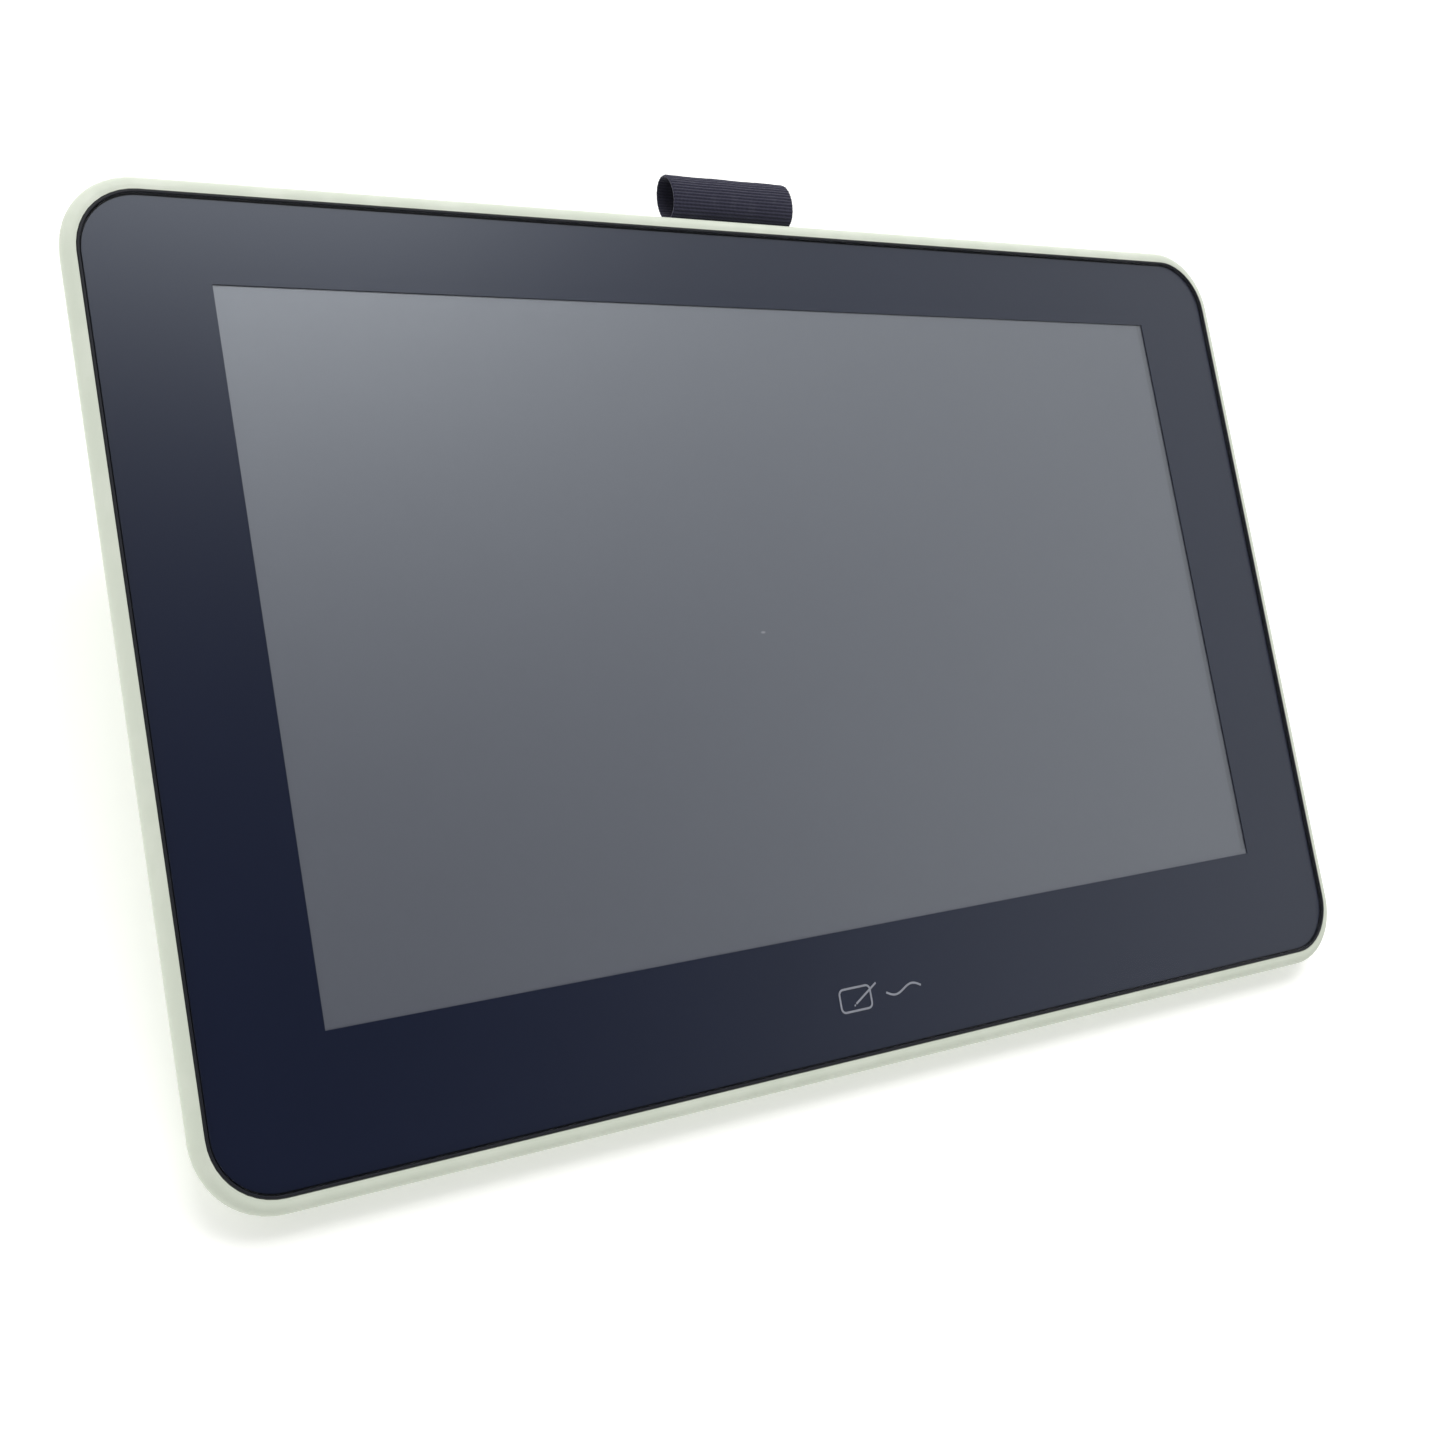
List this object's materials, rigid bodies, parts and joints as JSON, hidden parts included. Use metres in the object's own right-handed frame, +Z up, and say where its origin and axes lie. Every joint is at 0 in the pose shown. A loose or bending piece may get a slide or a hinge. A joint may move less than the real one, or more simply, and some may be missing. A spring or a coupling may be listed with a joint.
{
  "type": "pen drawing tablet",
  "caption": "Drawing tablet with a screen, a pale plastic rear cover with fold-out legs and rubber feet, a power button, a cable port and a fabric pen loop.",
  "frame": {"origin": "on the desk plane, under the middle of the outer box, with the legs open", "axes": "+X to the right as the user sees the screen, +Y away from the user, +Z up; the screen leans back at 19 degrees from the desk"},
  "size_m": [0.357, 0.2262, 0.0854],
  "materials": {
    "cover_plastic": "fine textured pale grey-white plastic",
    "cover_glass": "matte anti-glare etched glass",
    "ink": "black printed ink",
    "frame_plastic": "dark grey moulded plastic",
    "foam": "black foam tape",
    "polariser": "dark grey film",
    "lcd": "switched-off liquid crystal glass",
    "diffuser": "white sheets",
    "light_guide": "clear acrylic",
    "reflector": "silver film",
    "white_plastic": "white moulded plastic",
    "board_green": "solder mask",
    "board_blue": "solder mask",
    "chip_black": "moulded epoxy",
    "flex_amber": "polyimide film",
    "ribbon_white": "flat cable",
    "steel": "bright steel",
    "aluminium": "stamped sheet",
    "rubber_grey": "moulded rubber",
    "clear_plastic": "frosted clear plastic",
    "nib_plastic": "dark hard plastic",
    "loop_fabric": "ribbed elastic webbing"
  },
  "bodies": {
    "tablet": {"backlight_frame": "white_plastic", "board_chips": "chip_black", "board_screws": "steel", "button_board": "board_blue", "button_ribbon": "ribbon_white", "chassis_plate": "aluminium", "chassis_screws": "steel", "cover_glass": "cover_glass", "diffuser_sheets": "diffuser", "display_ribbon": "ribbon_white", "driver_board": "board_green", "driver_flexes": "flex_amber", "front_foot_left": "rubber_grey", "front_foot_right": "rubber_grey", "glass_tape": "foam", "ink_border": "ink", "lcd_cell": "lcd", "led_bar": "white_plastic", "leg_detent_left": "steel", "leg_detent_right": "steel", "leg_pin_left": "steel", "leg_pin_right": "steel", "light_guide": "light_guide", "light_pipe": "clear_plastic", "loop_rod": "steel", "main_board": "board_blue", "mid_frame": "frame_plastic", "nib_extractor": "steel", "nib_holder": "rubber_grey", "pen_loop": "loop_fabric", "polariser": "polariser", "port_shell": "steel", "port_tongue": "chip_black", "rear_cover": "cover_plastic", "rear_foot_left": "rubber_grey", "rear_foot_right": "rubber_grey", "reflector_sheet": "reflector", "ribbon_sockets": "white_plastic", "sensor_board": "board_green", "sensor_ribbon": "ribbon_white", "sensor_shield": "aluminium", "shield_can": "steel", "spare_nibs": "nib_plastic", "status_led": "clear_plastic", "tact_switch": "steel"},
    "leg_left": {"leg_left": "cover_plastic", "leg_tip_left": "rubber_grey"},
    "leg_right": {"leg_right": "cover_plastic", "leg_tip_right": "rubber_grey"},
    "power_button": {"power_button": "cover_plastic"}
  },
  "joints": [
    {"name": "leg_left_fold", "type": "hinge", "parent": "tablet", "child": "leg_left", "pos_m": [-0.115, 0.07135, 0.06328], "axis": [1, 0, 0], "range_deg": [-90, 0]},
    {"name": "leg_right_fold", "type": "hinge", "parent": "tablet", "child": "leg_right", "pos_m": [0.115, 0.07135, 0.06328], "axis": [1, 0, 0], "range_deg": [-90, 0]},
    {"name": "power_button_press", "type": "slide", "parent": "tablet", "child": "power_button", "axis": [0, -0.9455, -0.3256], "range_m": [0, 0.0004], "stiffness_N_per_m": 2000, "springref_m": -0.0002}
  ]
}
